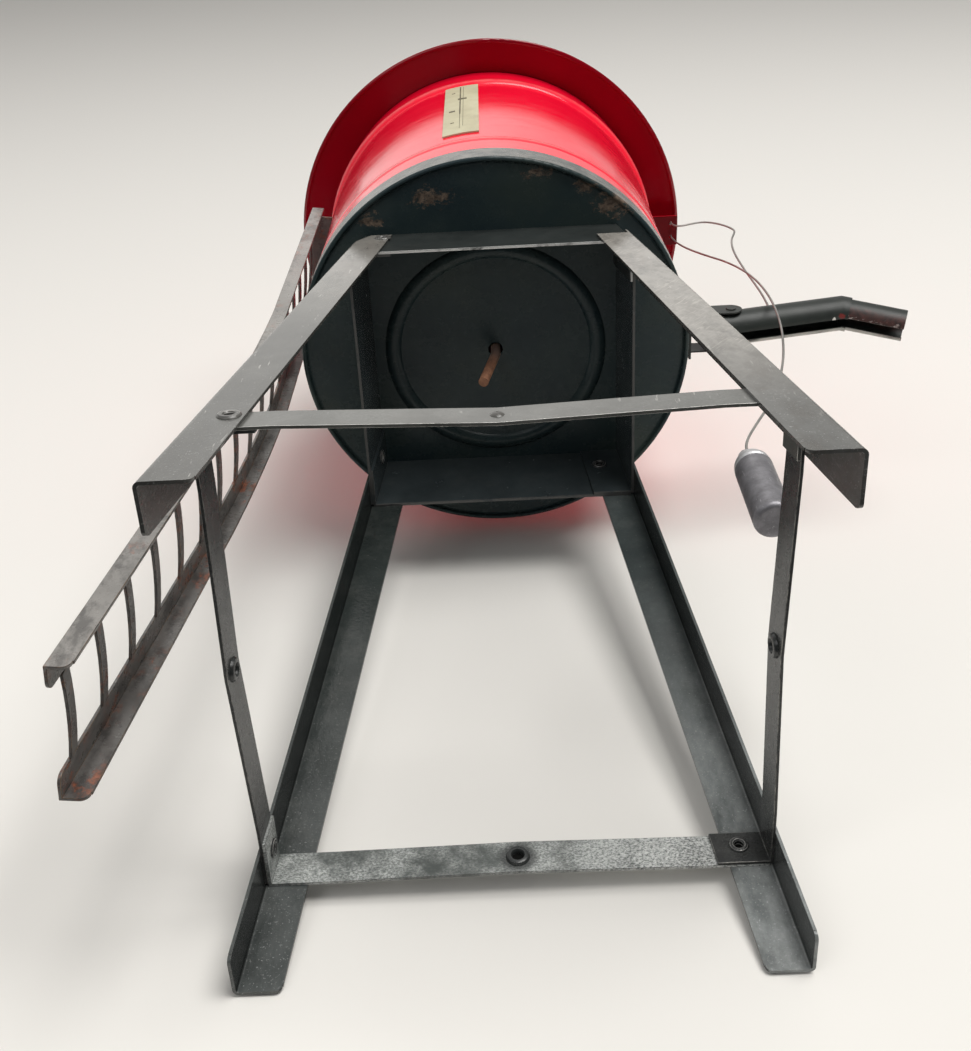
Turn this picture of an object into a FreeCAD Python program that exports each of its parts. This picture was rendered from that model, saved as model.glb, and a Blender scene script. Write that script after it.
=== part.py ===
import FreeCAD, Part
import math
import os

V = FreeCAD.Vector

# Tinplate toy-railway water tower, standing upright.
# Frame: origin on the ground at the centre of the four feet, +Z up,
# +X towards the swinging spout, -X towards the ladder, -Y the front with
# the level gauge. All lengths in millimetres.

# ---------------------------------------------------------------- dimensions
SHEET = 0.6              # sheet thickness of legs, straps, ladder, brackets

FOOT_HALF = 51.0         # half of the square over the four foot corners
LEG_TOP_HALF = 33.0      # the same at the top of the legs
LEG_TOP_Z = 163.0        # top of each leg's riveted flange
LEG_SHORT_Z = 152.0      # top of each leg's other flange
# flange widths of each angle: the riveted flange, the other flange
LEG_FLANGES = {"leg_front_left": (8.6, 9.2), "leg_front_right": (10.0, 8.6),
               "leg_back_right": (8.6, 8.6), "leg_back_left": (8.6, 8.6)}
LEG_FOLD_R = 1.1         # outer fold radius
FOOT_ROUND = 1.3         # rounded free corners of the sheared feet
LEAN = (FOOT_HALF - LEG_TOP_HALF) / LEG_TOP_Z

STRAP_Z = 26.5           # centre height of the brace straps
STRAP_W = 7.2            # strap width
STRAP_TAB = 10.4         # length of the bent tab at one end of each strap
STRAP_FLAT = 13.0        # flat length at each end, before the shallow kink
STRAP_KINK = {"front": 1.25, "right": 0.9, "back": 0.6, "left": -1.0}

COLLAR_LOW_Z = 145.5     # free lower edge of the collar under the tank
COLLAR_TAB = 10.4
COLLAR_RIVET_Z = 159.0
COLLAR_RIVET_IN = 7.0
BRACE_RIVET_Z = 27.2
CORNER_RIVET_IN = 6.0    # rivet centre to the leg's corner

EYE_TUBE_R = 1.3         # hollow-ended rivets
EYE_HOLE_R = 1.35
EYE_BORE_R = 0.85
EYE_HEAD_R = 2.1
MID_TUBE_R = 1.5         # larger ones in the middle of the straps
MID_HOLE_R = 1.55
MID_BORE_R = 1.05
MID_HEAD_R = 2.4
DOME_SHANK_R = 0.8       # small solid rivet in the middle of the front strap
DOME_HOLE_R = 0.85
DOME_HEAD_R = 1.25
DOME_H = 0.5

TANK_R = 50.0            # tank wall, outside
TANK_T = 0.5
TANK_LOW_Z = 166.3
TANK_TOP_Z = 267.2
# rolled beads: height, half width, how far they stand proud
BEADS = ((185.6, 1.8, 0.28), (253.0, 2.3, 0.95))

PAN_R = 50.6             # bottom pan: skirt outside radius
PAN_T = 0.5
PAN_DISC_Z = 165.8       # underside of the disc
PAN_RIM_Z = 164.8        # lowest point of the folded rim
PAN_RIM_IN = 49.4        # inside radius of the folded rim
PAN_TOP_Z = 173.4        # top of the skirt
PAN_HOLE_R = 1.9
PAN_RING = (24.7, 28.8)  # pressed ring, inner and outer radius
PAN_RING_DEEP = 1.0

ROOF_RIM_R = 60.6
ROOF_RIM_Z = 264.0
ROOF_SLOPE = math.radians(18.0)
ROOF_T = 0.55
ROOF_SEAT_R = 5.5        # flat seat at the top
ROOF_HEM_R = 0.7

ROD_R = 1.25
ROD_BEND_Z = 162.6
ROD_TIP = (-3.4, 0.9, 146.8)

FINIAL_TOP = 10.5        # knob height above its seat
KNOB_R = 3.7
KNOB_NECK_R = 2.4

GAUGE_AZ = (-103.1, -92.0)
GAUGE_Z = (192.5, 249.0)
GAUGE_T = 0.4

LADDER_AZ = 6.2          # turn about Z from the -X axis
LADDER_HALF_W = 13.1     # half of the overall width
LADDER_DEEP_FRONT = (4.1, 3.8, 3.6, 3.5, 3.5)   # side flange depth along each rail
LADDER_DEEP_BACK = (4.8, 3.9, 3.6, 3.5, 3.5)
LADDER_LIP = 4.8         # width of the outer lips
LADDER_ROUND = 1.7       # rounded free corners at the foot of each rail
LADDER_TOP_Z = 238.0
LADDER_LINE = ((71.5, 0.0), (61.9, 75.0), (58.1, 112.0), (55.95, 150.0), (55.1, 238.0))
RUNG_N = 17
RUNG_FIRST_Z = 4.6
RUNG_STEP = 13.8
RUNG_H = 3.6
RUNG_BOW = 0.4
LADDER_SHELF_Z = 231.0

PIVOT = V(62.5, 0.0, 172.8)
SPOUT_R = 4.6
SPOUT_T = 0.4
SPOUT_UP = math.radians(12.4)
SPOUT_BACK = 6.5         # pipe length behind the pivot
SPOUT_LEN = 31.6         # pivot to bend
SPOUT_ROLL = math.radians(15.0)    # the rolled pipe sits turned in its bracket
NOZZLE_BEND = math.radians(32.0)
NOZZLE_LEN = 17.0
NOZZLE_GAP = 0.03        # slip fit of the nozzle in the pipe's end
SLOT_W = 2.75            # open seam along the underside
LAP_LEN = 2.2            # the pipe goes this far past the bend
PIN_R = 0.8
PIN_HOLE_R = 0.85
EAR_IN = 5.0
EAR_T = 0.4
EAR_R = 2.9
PIN_HEAD_R = 1.3
PIN_HEAD = 0.3
BRACKET_X = 50.65
EYE_S = 13.6             # wire eye: distance along the pipe from the pivot

GUIDE_Z = 258.0
GUIDE_X = 57.8           # wire holes
GUIDE_Y = 2.2
GUIDE_T = 0.6

WIRE_R = 0.3
WEIGHT_X = 51.5
WEIGHT_Y = -7.0
WEIGHT_R = 3.95
WEIGHT_Z = (57.0, 78.6)
CAP_TOP = 84.2           # tapered cap that grips the wire
CAP_BORE_R = 0.42
CAP_BORE = 4.2


# ------------------------------------------------------------------- helpers
def half(z):
    """Half size of the leg square at height z."""
    return FOOT_HALF - LEAN * z


def face_of(points):
    """Planar face from a list of points; a tuple ("arc", mid, end) is an arc."""
    edges = []
    last = points[0]
    for p in list(points[1:]) + [points[0]]:
        if isinstance(p, tuple):
            edges.append(Part.Arc(last, p[1], p[2]).toShape())
            last = p[2]
        else:
            if last.distanceToPoint(p) > 1e-7:
                edges.append(Part.LineSegment(last, p).toShape())
            last = p
    return Part.Face(Part.Wire(Part.__sortEdges__(edges)))


def turned(profile):
    """Solid of revolution about Z from (r, z) points, arcs as ("arc", mid, end)."""
    pts = []
    for p in profile:
        if p[0] == "arc":
            pts.append(("arc", V(p[1][0], 0, p[1][1]), V(p[2][0], 0, p[2][1])))
        else:
            pts.append(V(p[0], 0, p[1]))
    return face_of(pts).revolve(V(0, 0, 0), V(0, 0, 1), 360)


def ruled(low, high):
    """Solid between two plan outlines with the same number of corners."""
    a = Part.makePolygon(low + [low[0]])
    b = Part.makePolygon(high + [high[0]])
    return Part.makeLoft([a, b], True, True)


def spin(shape, degrees):
    s = shape.copy()
    s.rotate(V(0, 0, 0), V(0, 0, 1), degrees)
    return s


def along(shape, point, direction):
    """Put a shape made along +Z at point, with +Z turned to direction."""
    s = shape.copy()
    s.Placement = FreeCAD.Placement(point, FreeCAD.Rotation(V(0, 0, 1), direction))
    return s


def cyl(r, start, direction, length):
    return Part.makeCylinder(r, length, start, direction)


def one(shape):
    """The single solid of a boolean result."""
    shape = shape.removeSplitter()
    solids = shape.Solids
    if len(solids) == 1:
        return solids[0]
    return Part.makeCompound(solids)


def fuse(shapes):
    return one(shapes[0].multiFuse(shapes[1:]))


def beyond(point, normal, size=60.0):
    """Half space on the side that normal points to."""
    box = Part.makeBox(2 * size, 2 * size, size, V(-size, -size, 0))
    return along(box, point, normal)


def tube_path(points, radius):
    """Round wire through points: straight runs with tangent arcs."""
    n = len(points)
    edges = []
    radii = []
    last = points[0]
    for i in range(1, n - 1):
        a, b, c = points[i - 1], points[i], points[i + 1]
        u, w = (a - b), (c - b)
        lu, lw = u.Length, w.Length
        u.normalize()
        w.normalize()
        bend = math.pi - u.getAngle(w)
        trim = 0.45 * min(lu, lw)
        arc_r = trim / math.tan(bend / 2)
        radii.append(arc_r)
        p, q = b + u * trim, b + w * trim
        m = u + w
        m.normalize()
        centre = b + m * (arc_r / math.cos(bend / 2))
        mid = centre - m * arc_r
        edges.append(Part.LineSegment(last, p).toShape())
        edges.append(Part.Arc(p, mid, q).toShape())
        last = q
    edges.append(Part.LineSegment(last, points[-1]).toShape())
    spine = Part.Wire(edges)
    start = points[1] - points[0]
    ring = Part.Wire(Part.makeCircle(radius, points[0], start))
    return spine.makePipeShell([ring], True, True), spine.Length, radii


nodes = {}
SIDES = (("front", 0), ("right", 90), ("back", 180), ("left", 270))
LEG_NAMES = ("leg_front_left", "leg_front_right", "leg_back_right", "leg_back_left")

# outward normal of the leaning front side, and the stack of three sheets
TILT = math.atan(LEAN)
FRONT_N = V(0, -math.cos(TILT), math.sin(TILT))
STACK = 3 * SHEET * math.cos(TILT)


def front_point(x, z, depth=0.0):
    """Point on the leaning front side, depth measured horizontally inwards."""
    return V(x, -half(z) + depth, z)


def hole(r, x, z):
    return cyl(r, front_point(x, z) + FRONT_N * 4.0, FRONT_N * -1.0, 12.0)


CORNER_X = -half(BRACE_RIVET_Z) + CORNER_RIVET_IN
COLLAR_X = -half(COLLAR_RIVET_Z) + COLLAR_RIVET_IN

# ---------------------------------------------------------------------- legs
s2 = math.sqrt(0.5)


def make_leg(wide, other):
    """Angle leg at the front left corner: a riveted front flange and a side flange."""
    t, r = SHEET, LEG_FOLD_R
    o = V(-FOOT_HALF, -FOOT_HALF, 0)
    section = face_of([
        o + V(wide, 0, 0),
        o + V(r, 0, 0),
        ("arc", o + V(r - r * s2, r - r * s2, 0), o + V(0, r, 0)),
        o + V(0, other, 0),
        o + V(t, other, 0),
        o + V(t, r, 0),
        ("arc", o + V(r - (r - t) * s2, r - (r - t) * s2, 0), o + V(r, t, 0)),
        o + V(wide, t, 0),
    ])
    leg = section.extrude(V(LEAN * LEG_TOP_Z, LEAN * LEG_TOP_Z, LEG_TOP_Z))
    # the other flange stops short of the collar
    h = half(LEG_SHORT_Z)
    gap = Part.makePolygon([V(-h - 2, -h + r, LEG_SHORT_Z), V(-h + t + 0.4, -h + r, LEG_SHORT_Z),
                            V(-h + t + 0.4, -h + 14, LEG_SHORT_Z), V(-h - 2, -h + 14, LEG_SHORT_Z),
                            V(-h - 2, -h + r, LEG_SHORT_Z)])
    leg = leg.cut(Part.Face(gap).extrude(V(LEAN * 20, LEAN * 20, 20)))
    # clipped top corner
    clip = Part.makePolygon([V(-36, -45, 155.5), V(-33.6, -45, 155.5), V(-29.4, -45, 163.5),
                             V(-36, -45, 163.5), V(-36, -45, 155.5)])
    leg = leg.cut(Part.Face(clip).extrude(V(0, 25, 0)))
    # rounded corners at the foot, on the free edge of both flanges
    q = FOOT_ROUND
    corner = Part.makeBox(q + 1, 4, q + 1, V(-FOOT_HALF + wide - q, -FOOT_HALF - 2, -1))
    corner = corner.cut(cyl(q, V(-FOOT_HALF + wide - q, -FOOT_HALF - 3, q), V(0, 1, 0), 8))
    leg = leg.cut(corner)
    corner = Part.makeBox(4, q + 1, q + 1, V(-FOOT_HALF - 2, -FOOT_HALF + other - q, -1))
    corner = corner.cut(cyl(q, V(-FOOT_HALF - 3, -FOOT_HALF + other - q, q), V(1, 0, 0), 8))
    leg = leg.cut(corner)
    leg = leg.cut(hole(EYE_HOLE_R, CORNER_X, BRACE_RIVET_Z))
    leg = leg.cut(hole(EYE_HOLE_R, COLLAR_X, COLLAR_RIVET_Z))
    return one(leg)


for k, name in enumerate(LEG_NAMES):
    nodes[name] = spin(make_leg(*LEG_FLANGES[name]), 90 * k)


# ------------------------------------------------------ straps and the collar
def strip_outline(z, tab, kink, start):
    a = half(z)
    y0, y1 = -a + SHEET, -a + 2 * SHEET
    xl, xr = -a + start, a - 2 * SHEET
    xt = xr - SHEET
    tab_end = y0 + tab
    flat = half(STRAP_Z) - STRAP_FLAT
    return [V(xl, y0, z), V(-flat, y0, z), V(0, y0 + kink, z), V(flat, y0, z), V(xr, y0, z), V(xr, tab_end, z),
            V(xt, tab_end, z), V(xt, y1, z), V(flat, y1, z), V(0, y1 + kink, z), V(-flat, y1, z), V(xl, y1, z)]


def plain_outline(z, tab, start):
    pts = strip_outline(z, tab, 0.0, start)
    return [pts[0], pts[4], pts[5], pts[6], pts[7], pts[11]]


def tab_hole(x, z, radius):
    """The rivet at the far end of a strip goes through its bent tab."""
    return spin(hole(radius, x, z), 90)


for name, deg in SIDES:
    k = STRAP_KINK[name]
    zl, zh = STRAP_Z - STRAP_W / 2, STRAP_Z + STRAP_W / 2
    strap = ruled(strip_outline(zl, STRAP_TAB, k, 1.3), strip_outline(zh, STRAP_TAB, k, 1.3))
    strap = strap.cut(hole(EYE_HOLE_R, CORNER_X, BRACE_RIVET_Z))
    strap = strap.cut(tab_hole(CORNER_X, BRACE_RIVET_Z, EYE_HOLE_R))
    strap = strap.cut(hole(DOME_HOLE_R if name == "front" else MID_HOLE_R, 0.0, STRAP_Z))
    nodes["brace_strap_" + name] = spin(one(strap), deg)

    strip = ruled(plain_outline(COLLAR_LOW_Z, COLLAR_TAB, 1.3), plain_outline(PAN_DISC_Z, COLLAR_TAB, 1.3))
    strip = strip.cut(hole(EYE_HOLE_R, COLLAR_X, COLLAR_RIVET_Z))
    strip = strip.cut(tab_hole(COLLAR_X, COLLAR_RIVET_Z, EYE_HOLE_R))
    nodes["collar_strip_" + name] = spin(one(strip), deg)


# -------------------------------------------------------------------- rivets
def eyelet(bore, tube, head, stack, lip):
    """Rivet with hollow, rolled ends and a closed middle."""
    return turned([
        (0.0, -0.35 * stack), (bore, -0.35 * stack), (bore, 0.15), (bore + 0.28, lip), (head - 0.35, lip * 0.9), (head, 0.0),
        (tube, 0.0), (tube, -stack), (head - 0.1, -stack),
        (head - 0.4, -stack - lip * 0.95), (bore + 0.3, -stack - lip * 1.15), (bore, -stack - 0.2),
        (bore, -0.65 * stack), (0.0, -0.65 * stack),
    ])


def dome_rivet(shank, head, height, stack):
    """Solid rivet: a domed head outside, a flat upset end inside."""
    ball = (head * head + height * height) / (2 * height)
    half_turn = math.asin(head / ball) / 2
    mid = (ball * math.sin(half_turn), height - ball + ball * math.cos(half_turn))
    return turned([
        (0.0, height), ("arc", mid, (head, 0.0)), (shank, 0.0), (shank, -stack),
        (head, -stack), (head - 0.2, -stack - 0.45), (0.0, -stack - 0.45),
    ])


corner_eye = eyelet(EYE_BORE_R, EYE_TUBE_R, EYE_HEAD_R, STACK, 0.42)
low = along(corner_eye, front_point(CORNER_X, BRACE_RIVET_Z), FRONT_N)
top = along(corner_eye, front_point(COLLAR_X, COLLAR_RIVET_Z), FRONT_N)
for k, name in enumerate(LEG_NAMES):
    where = name[4:]
    nodes["brace_rivet_" + where] = spin(low, 90 * k)
    nodes["collar_rivet_" + where] = spin(top, 90 * k)
mids = []
for name, deg in SIDES:
    grip = SHEET * math.cos(TILT) + 0.02
    if name == "front":
        mid_eye = dome_rivet(DOME_SHANK_R, DOME_HEAD_R, DOME_H, grip)
    else:
        mid_eye = eyelet(MID_BORE_R, MID_TUBE_R, MID_HEAD_R, grip, 0.62)
    p = front_point(0.0, STRAP_Z, SHEET + STRAP_KINK[name]) + FRONT_N * 0.01
    # the kinked strap is a shallow V, so the rivet heads stand a hair off it
    relief = spin(along(mid_eye, p, FRONT_N), deg).cut(nodes["brace_strap_" + name])
    mids.append(("strap_rivet_" + name, one(relief)))
for name, shape in mids:
    nodes[name] = shape

# ---------------------------------------------------------------------- tank
r0, r1 = PAN_RING
rm = (r0 + r1) / 2
zd = PAN_DISC_Z
zt = PAN_DISC_Z + PAN_T
rim_mid = (PAN_RIM_IN + PAN_R) / 2
nodes["tank_bottom"] = turned([
    (PAN_HOLE_R, zd), (r0, zd), ("arc", (rm, zd - PAN_RING_DEEP), (r1, zd)),
    (PAN_RIM_IN - 0.7, zd), ("arc", (PAN_RIM_IN - 0.7 + 0.7 * s2, zd - 0.7 + 0.7 * s2), (PAN_RIM_IN, zd - 0.7)),
    (PAN_RIM_IN, PAN_RIM_Z + 0.85), ("arc", (rim_mid, PAN_RIM_Z), (PAN_R, PAN_RIM_Z + 0.85)),
    (PAN_R, PAN_TOP_Z), (PAN_R - 0.55, PAN_TOP_Z), (PAN_R - 0.55, zt),
    (r1 + 0.1, zt), ("arc", (rm, zt - PAN_RING_DEEP), (r0 - 0.1, zt)), (PAN_HOLE_R, zt),
])


def bead(radius, z, wide, out, up):
    lo, hi = (radius, z - wide), (radius, z + wide)
    mid = (radius + out, z)
    return [lo, ("arc", mid, hi)] if up else [hi, ("arc", mid, lo)]


wall = [(TANK_R, TANK_LOW_Z)]
for z, wide, out in BEADS:
    wall += bead(TANK_R, z, wide, out, True)
wall += [(TANK_R, TANK_TOP_Z), (TANK_R - TANK_T, TANK_TOP_Z)]
for z, wide, out in reversed(BEADS):
    wall += bead(TANK_R - TANK_T, z, wide, out, False)
wall += [(TANK_R - TANK_T, TANK_LOW_Z)]
nodes["tank_shell"] = turned(wall)

# roof: shallow cone with a flat seat and a rolled hem
slope = math.tan(ROOF_SLOPE)


def roof_z(radius):
    return ROOF_RIM_Z + (ROOF_RIM_R - radius) * slope


thick = ROOF_T / math.cos(ROOF_SLOPE)
seat_z = roof_z(ROOF_SEAT_R)
cone = turned([
    (ROD_R + 0.1, seat_z), (ROOF_SEAT_R, seat_z), (ROOF_RIM_R - ROOF_HEM_R, roof_z(ROOF_RIM_R - ROOF_HEM_R)),
    (ROOF_RIM_R - ROOF_HEM_R, roof_z(ROOF_RIM_R - ROOF_HEM_R) + thick),
    (ROOF_SEAT_R, seat_z + thick), (ROD_R + 0.1, seat_z + thick),
])
hem = Part.makeTorus(ROOF_RIM_R - ROOF_HEM_R, ROOF_HEM_R, V(0, 0, ROOF_RIM_Z + 0.35))
nodes["roof"] = fuse([cone, hem])

zs = seat_z + thick
knob_z = zs + FINIAL_TOP - KNOB_R
knob_low = knob_z - math.sqrt(KNOB_R ** 2 - KNOB_NECK_R ** 2)
nodes["roof_finial"] = turned([
    (0.0, zs + 4.0), (ROD_R + 0.05, zs + 4.0), (ROD_R + 0.05, zs), (4.6, zs), (4.6, zs + 1.0),
    ("arc", (3.0, zs + 1.9), (KNOB_NECK_R, knob_low)),
    ("arc", (KNOB_R, knob_z), (0.0, knob_z + KNOB_R)),
])

rod_dir = V(*ROD_TIP) - V(0, 0, ROD_BEND_Z)
rod_len = rod_dir.Length
nodes["tie_rod"] = fuse([
    cyl(ROD_R, V(0, 0, ROD_BEND_Z), V(0, 0, 1), zs + 3.6 - ROD_BEND_Z),
    Part.makeSphere(ROD_R, V(0, 0, ROD_BEND_Z)),
    cyl(ROD_R, V(0, 0, ROD_BEND_Z), rod_dir, rod_len),
])

az0, az1 = GAUGE_AZ
outer = Part.makeCylinder(TANK_R + 0.05 + GAUGE_T, GAUGE_Z[1] - GAUGE_Z[0], V(0, 0, GAUGE_Z[0]), V(0, 0, 1), az1 - az0)
inner = Part.makeCylinder(TANK_R + 0.05, GAUGE_Z[1] - GAUGE_Z[0] + 2, V(0, 0, GAUGE_Z[0] - 1), V(0, 0, 1), 360)
nodes["gauge_plate"] = spin(one(outer.cut(inner)), az0)

# -------------------------------------------------------------------- ladder
# Drawn at azimuth 180 degrees: x = -radius, then turned about Z.


def ladder_r(z):
    """Outer radius of the ladder line at height z, by interpolation."""
    line = LADDER_LINE
    for (ra, za), (rb, zb) in zip(line, line[1:]):
        if z <= zb:
            return ra + (rb - ra) * (z - za) / (zb - za)
    return line[-1][0]


def ladder_band(insets):
    """Face in the XZ plane from the ladder line to a line set in from it."""
    a, b, c, d, e = [V(-rad, 0, z) for rad, z in LADDER_LINE]
    ai, bi, ci, di, ei = [V(-(rad - i), 0, z) for (rad, z), i in zip(LADDER_LINE, insets)]
    return face_of([a, b, ("arc", c, d), e, ei, di, ("arc", ci, bi), ai])


def slab(face, y0, y1):
    f = face.copy()
    f.translate(V(0, y0, 0))
    return f.extrude(V(0, y1 - y0, 0))


hw = LADDER_HALF_W
lip_face = ladder_band([SHEET] * 5)
rail_front = fuse([slab(ladder_band(LADDER_DEEP_FRONT), -hw, -hw + SHEET), slab(lip_face, -hw, -hw + LADDER_LIP)])
rail_back = fuse([slab(ladder_band(LADDER_DEEP_BACK), hw - SHEET, hw), slab(lip_face, hw - LADDER_LIP, hw)])


def round_rail_foot(rail, side, deep):
    """Take the free corners off a rail's lip and side flange at the ground."""
    c = LADDER_ROUND
    y = side * (hw - LADDER_LIP)
    box = Part.makeBox(6, c + 1, c + 1, V(-LADDER_LINE[0][0] - 2, min(y + side * c, y - side), -1))
    box = box.cut(cyl(c, V(-LADDER_LINE[0][0] - 3, y + side * c, c), V(1, 0, 0), 8))
    rail = rail.cut(box)
    x = -LADDER_LINE[0][0] + deep
    box = Part.makeBox(c + 1.5, 3, c + 1, V(x - c, side * hw - 1.5, -1))
    box = box.cut(cyl(c, V(x - c, side * hw - 2, c), V(0, 1, 0), 4))
    return one(rail.cut(box))


rail_front = round_rail_foot(rail_front, -1, LADDER_DEEP_FRONT[0])
rail_back = round_rail_foot(rail_back, 1, LADDER_DEEP_BACK[0])
rungs = []
for i in range(RUNG_N):
    z = RUNG_FIRST_Z + RUNG_STEP * i
    rr = ladder_r(z + RUNG_H / 2)
    y = hw - LADDER_LIP
    x0, x1 = -rr + 0.02, -rr + SHEET - 0.02
    rung_face = face_of([
        V(x0, -y, z), ("arc", V(x0 + RUNG_BOW, 0, z), V(x0, y, z)),
        V(x1, y, z), ("arc", V(x1 + RUNG_BOW, 0, z), V(x1, -y, z)),
    ])
    rungs.append(rung_face.extrude(V(0, 0, RUNG_H)))
nodes["ladder_rail_front"] = spin(rail_front, LADDER_AZ)
nodes["ladder_rail_back"] = spin(rail_back, LADDER_AZ)
nodes["ladder_rungs"] = spin(Part.makeCompound(rungs), LADDER_AZ)

# shelf that ties the ladder's top to the tank wall
zsx = LADDER_SHELF_Z
ri = TANK_R + 0.05
ye = hw - SHEET - 0.02
ro_ = ladder_r(zsx) - SHEET - 0.04
shelf_face = face_of([
    V(-math.sqrt(ri * ri - ye * ye), -ye, zsx), V(-ro_, -ye, zsx), V(-ro_, ye, zsx),
    V(-math.sqrt(ri * ri - ye * ye), ye, zsx),
    ("arc", V(-ri, 0, zsx), V(-math.sqrt(ri * ri - ye * ye), -ye, zsx)),
])
nodes["ladder_shelf"] = spin(shelf_face.extrude(V(0, 0, 0.8)), LADDER_AZ)

# --------------------------------------------------------------------- spout
d1 = V(math.cos(SPOUT_UP), 0, math.sin(SPOUT_UP))
n1 = V(-math.sin(SPOUT_UP), 0, math.cos(SPOUT_UP))
under1 = n1 * (-math.cos(SPOUT_ROLL)) + V(0, 1, 0) * math.sin(SPOUT_ROLL)
across = d1.cross(under1)
d2 = d1 * math.cos(NOZZLE_BEND) + under1 * math.sin(NOZZLE_BEND)
under2 = under1 * math.cos(NOZZLE_BEND) - d1 * math.sin(NOZZLE_BEND)
bend = PIVOT + d1 * SPOUT_LEN
split = d1 + d2
split.normalize()


def slot_box(start, d, down, length):
    """Box along d that opens the underside of the rolled pipe."""
    a = start - across * (SLOT_W / 2)
    pts = [a, a + across * SLOT_W, a + across * SLOT_W + down * 9.0, a + down * 9.0]
    return Part.Face(Part.makePolygon(pts + [pts[0]])).extrude(d * length)


def ring_pipe(start, d, length, ro, ri_):
    return cyl(ro, start, d, length).cut(cyl(ri_, start - d * 1.0, d, length + 2.0))


main = ring_pipe(PIVOT - d1 * SPOUT_BACK, d1, SPOUT_BACK + SPOUT_LEN + 8, SPOUT_R, SPOUT_R - SPOUT_T)
main = main.cut(slot_box(PIVOT - d1 * (SPOUT_BACK + 1), d1, under1, SPOUT_BACK + SPOUT_LEN + 14))
main = main.cut(beyond(bend, split))
# the pipe's end is bent over and laps the nozzle
lap = ring_pipe(bend - d2 * 8.0, d2, 8.0 + LAP_LEN, SPOUT_R, SPOUT_R - SPOUT_T)
lap = lap.cut(beyond(bend, split * -1.0))
lap = lap.cut(slot_box(bend - d2 * 9.0, d2, under2, 20.0))
main = main.fuse(lap)
main = main.cut(cyl(PIN_HOLE_R, PIVOT - V(0, 10, 0), V(0, 1, 0), 20))
nodes["spout_pipe"] = one(main)

nr = SPOUT_R - SPOUT_T - NOZZLE_GAP
nozzle = ring_pipe(bend - d2 * 8.0, d2, 8.0 + NOZZLE_LEN, nr, nr - SPOUT_T)
nozzle = nozzle.cut(slot_box(bend - d2 * 9.0, d2, under2, NOZZLE_LEN + 12))
nozzle = nozzle.cut(beyond(bend + split * 0.03, split * -1.0))
nodes["spout_nozzle"] = one(nozzle)

eye_c = PIVOT + d1 * EYE_S + n1 * (SPOUT_R + 1.5)
eye = fuse([
    cyl(1.4, eye_c - V(0, 0.4, 0), V(0, 1, 0), 0.8),
    along(Part.makeBox(2.8, 0.8, 2.4, V(-1.4, -0.4, 0)), PIVOT + d1 * EYE_S + n1 * (SPOUT_R - 0.9), n1),
])
eye = eye.cut(cyl(0.6, eye_c - V(0, 2, 0), V(0, 1, 0), 4.0))
eye = eye.cut(cyl(SPOUT_R, PIVOT, d1, 40.0))
nodes["spout_eye"] = one(eye)

plate = Part.makeBox(SHEET, 2 * (EAR_IN + EAR_T), 10.6, V(BRACKET_X, -EAR_IN - EAR_T, 165.6))
parts = [plate]
for y in (EAR_IN, -EAR_IN - EAR_T):
    parts.append(Part.makeBox(PIVOT.x - BRACKET_X, EAR_T, 2 * EAR_R, V(BRACKET_X, y, PIVOT.z - EAR_R)))
    parts.append(cyl(EAR_R, V(PIVOT.x, y, PIVOT.z), V(0, 1, 0), EAR_T))
bracket = fuse(parts)
bracket = one(bracket.cut(cyl(PIN_R, PIVOT - V(0, 10, 0), V(0, 1, 0), 20)))
nodes["spout_bracket"] = bracket

ey = EAR_IN + EAR_T
nodes["spout_hinge_pin"] = fuse([
    cyl(PIN_R, PIVOT - V(0, ey + PIN_HEAD / 2, 0), V(0, 1, 0), 2 * ey + PIN_HEAD),
    cyl(PIN_HEAD_R, PIVOT + V(0, ey, 0), V(0, 1, 0), PIN_HEAD),
    cyl(PIN_HEAD_R, PIVOT - V(0, ey + PIN_HEAD, 0), V(0, 1, 0), PIN_HEAD),
])

# ----------------------------------------------------- wire, guide and weight
gx0 = TANK_R + 0.05
shelf = Part.makeBox(GUIDE_X + 1.8 - gx0, 9.4, GUIDE_T, V(gx0, -4.7, GUIDE_Z))
foot = Part.makeBox(GUIDE_T, 9.4, 5.0, V(gx0, -4.7, GUIDE_Z))
guide = fuse([shelf, foot])
for y in (-GUIDE_Y, GUIDE_Y):
    guide = guide.cut(cyl(0.75, V(GUIDE_X, y, GUIDE_Z - 2), V(0, 0, 1), 6.0))
nodes["wire_guide"] = one(guide)

g = GUIDE_Z + GUIDE_T
# the wire goes through the guide's front hole to the spout's eye
WIRE_SPOUT = [
    V(GUIDE_X, -GUIDE_Y, g + 0.9),
    V(GUIDE_X, -GUIDE_Y, 257.2),
    V(58.6, -2.3, 255.0),
    V(60.8, -2.5, 254.2),
    V(63.6, -2.7, 255.2),
    V(67.2, -2.9, 256.0),
    V(70.6, -3.0, 254.3),
    V(73.6, -3.1, 250.6),
    V(75.3, -3.1, 247.0),
    V(75.7, -3.1, 244.6),
    V(74.9, -3.0, 241.6),
    V(73.2, -2.9, 236.4),
    V(72.2, -2.7, 226.5),
    V(72.9, -2.3, 211.0),
    V(74.2, -1.8, 197.5),
    V(74.6, -1.6, 189.4),
    V(eye_c.x, -1.7, eye_c.z + 3.5),
    V(eye_c.x, -1.7, eye_c.z),
    V(eye_c.x, 1.5, eye_c.z),
]
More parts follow.
